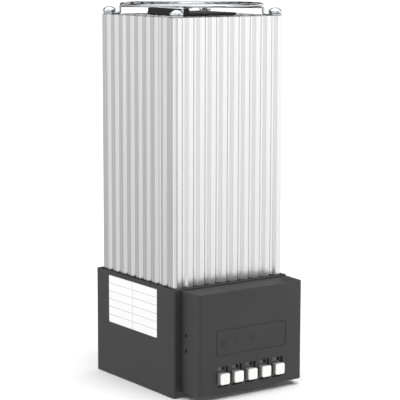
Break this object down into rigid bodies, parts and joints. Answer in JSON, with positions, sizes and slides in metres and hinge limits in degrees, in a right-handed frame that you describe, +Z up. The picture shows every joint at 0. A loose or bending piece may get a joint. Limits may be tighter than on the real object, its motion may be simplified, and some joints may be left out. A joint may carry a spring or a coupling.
{
  "type": "enclosure heater",
  "caption": "Tall square fan heater for switch cabinets: ribbed aluminium extrusion on a black base, wire outlet guard, push-button spring terminals and a rail clip.",
  "frame": {"origin": "middle of the overall footprint, on the plane on which the base stands", "axes": "+Z up along the extrusion, -Y out of the terminal side, +X to the right seen from the terminal side"},
  "size_m": [0.0862, 0.1054, 0.2291],
  "materials": {
    "anodised_aluminium": "satin anodised",
    "black_plastic": "fine matt moulding",
    "grey_plastic": "fine matt moulding",
    "fan_plastic": "matt",
    "white_plastic": "smooth moulding",
    "chromed_wire": "bright chrome",
    "zinc_steel": "bright zinc",
    "spring_steel": "plain",
    "brass": "plain",
    "motor_steel": "laminated",
    "copper_wire": "enamelled",
    "ferrite": "sintered",
    "heater_case": "plain",
    "cutout_case": "moulded",
    "lead_red": "silicone",
    "lead_grey": "silicone",
    "lead_black": "silicone",
    "lead_earth": "silicone",
    "white_label": "film sticker"
  },
  "bodies": {
    "housing": {"heat_sink": "anodised_aluminium", "base_housing": "black_plastic", "terminal_cover": "black_plastic", "terminal_block": "grey_plastic", "contact_bars": "brass", "clamp_springs": "spring_steel", "terminal_screws": "zinc_steel", "fan_frame": "fan_plastic", "fan_stator": "motor_steel", "fan_windings": "copper_wire", "fan_bearings": "zinc_steel", "finger_guard": "chromed_wire", "guard_screws": "chromed_wire", "intake_guard": "chromed_wire", "stack_screws": "chromed_wire", "heating_cartridge": "heater_case", "element_cap": "black_plastic", "element_foot": "black_plastic", "thermal_cutout": "cutout_case", "heater_leads": "lead_red", "cutout_leads": "lead_grey", "fan_leads": "lead_black", "earth_lug": "brass", "earth_lead": "lead_earth", "rail_clip": "spring_steel", "clip_screws": "zinc_steel", "rating_label": "white_label"},
    "rotor": {"fan_rotor": "fan_plastic", "fan_shaft": "zinc_steel", "fan_magnet": "ferrite"},
    "button_1": {"push_button_1": "white_plastic"},
    "button_2": {"push_button_2": "white_plastic"},
    "button_3": {"push_button_3": "white_plastic"},
    "button_4": {"push_button_4": "white_plastic"},
    "button_5": {"push_button_5": "white_plastic"}
  },
  "joints": [
    {"name": "fan_spin", "type": "hinge", "parent": "housing", "child": "rotor", "pos_m": [0, 0.00865, 0.02], "axis": [0, 0, 1], "continuous": true},
    {"name": "button_1_press", "type": "slide", "parent": "housing", "child": "button_1", "axis": [0, 1, 0], "range_m": [0, 0.0022], "stiffness_N_per_m": 1500, "springref_m": -0.001, "deforming": ["clamp_springs"]},
    {"name": "button_2_press", "type": "slide", "parent": "housing", "child": "button_2", "axis": [0, 1, 0], "range_m": [0, 0.0022], "stiffness_N_per_m": 1500, "springref_m": -0.001, "deforming": ["clamp_springs"]},
    {"name": "button_3_press", "type": "slide", "parent": "housing", "child": "button_3", "axis": [0, 1, 0], "range_m": [0, 0.0022], "stiffness_N_per_m": 1500, "springref_m": -0.001, "deforming": ["clamp_springs"]},
    {"name": "button_4_press", "type": "slide", "parent": "housing", "child": "button_4", "axis": [0, 1, 0], "range_m": [0, 0.0022], "stiffness_N_per_m": 1500, "springref_m": -0.001, "deforming": ["clamp_springs"]},
    {"name": "button_5_press", "type": "slide", "parent": "housing", "child": "button_5", "axis": [0, 1, 0], "range_m": [0, 0.0022], "stiffness_N_per_m": 1500, "springref_m": -0.001, "deforming": ["clamp_springs"]}
  ]
}
